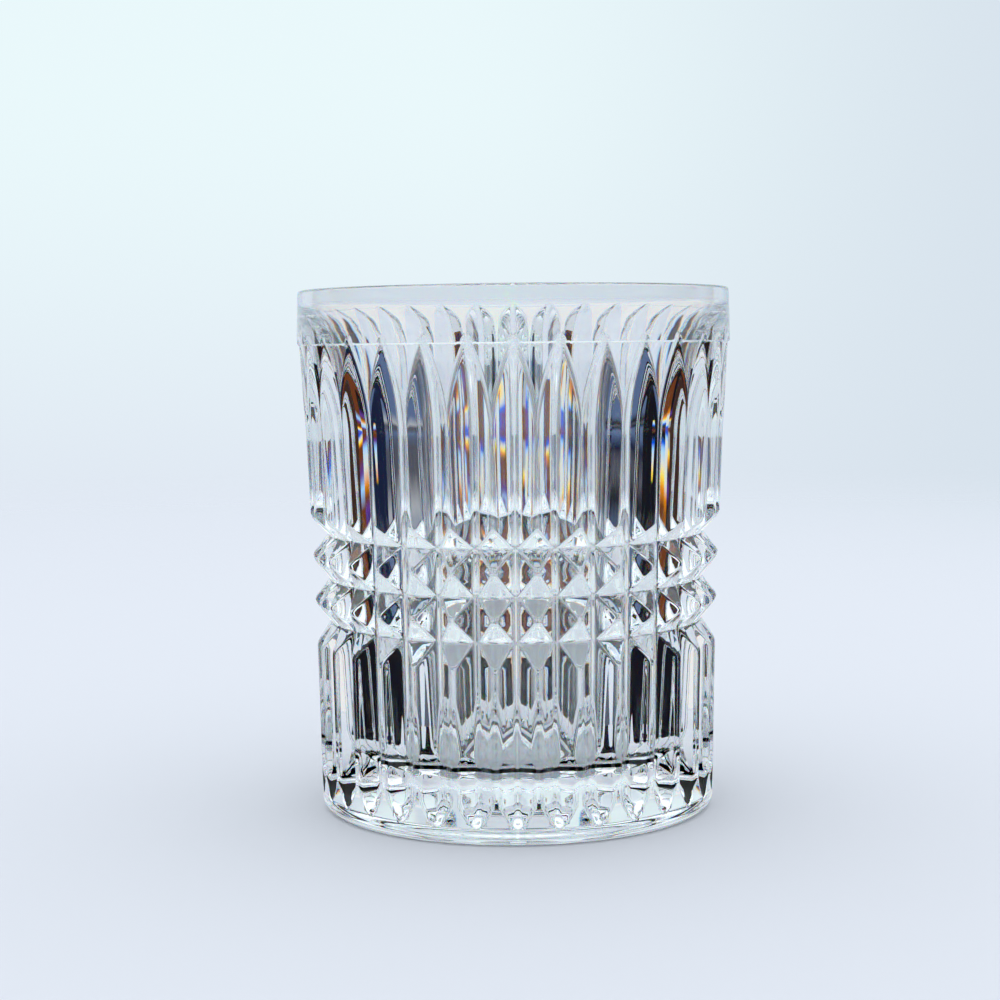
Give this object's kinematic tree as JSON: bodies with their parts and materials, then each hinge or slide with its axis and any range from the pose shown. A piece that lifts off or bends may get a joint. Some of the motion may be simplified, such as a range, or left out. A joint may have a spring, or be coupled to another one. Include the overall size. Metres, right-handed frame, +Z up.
{
  "type": "whiskey tumbler",
  "caption": "Short drinking glass of clear cut crystal with a heavy base, a plain rim band, upright flutes and a waist of pointed facets.",
  "frame": {"origin": "centre of the resting ring's plane, under the middle of the glass", "axes": "+Z up along the glass's axis; an upright groove faces +X, -X, +Y and -Y"},
  "size_m": [0.086, 0.086, 0.103],
  "materials": {
    "crystal_glass": "clear pressed and polished crystal"
  },
  "bodies": {
    "root": {"tumbler_glass": "crystal_glass"}
  },
  "joints": []
}
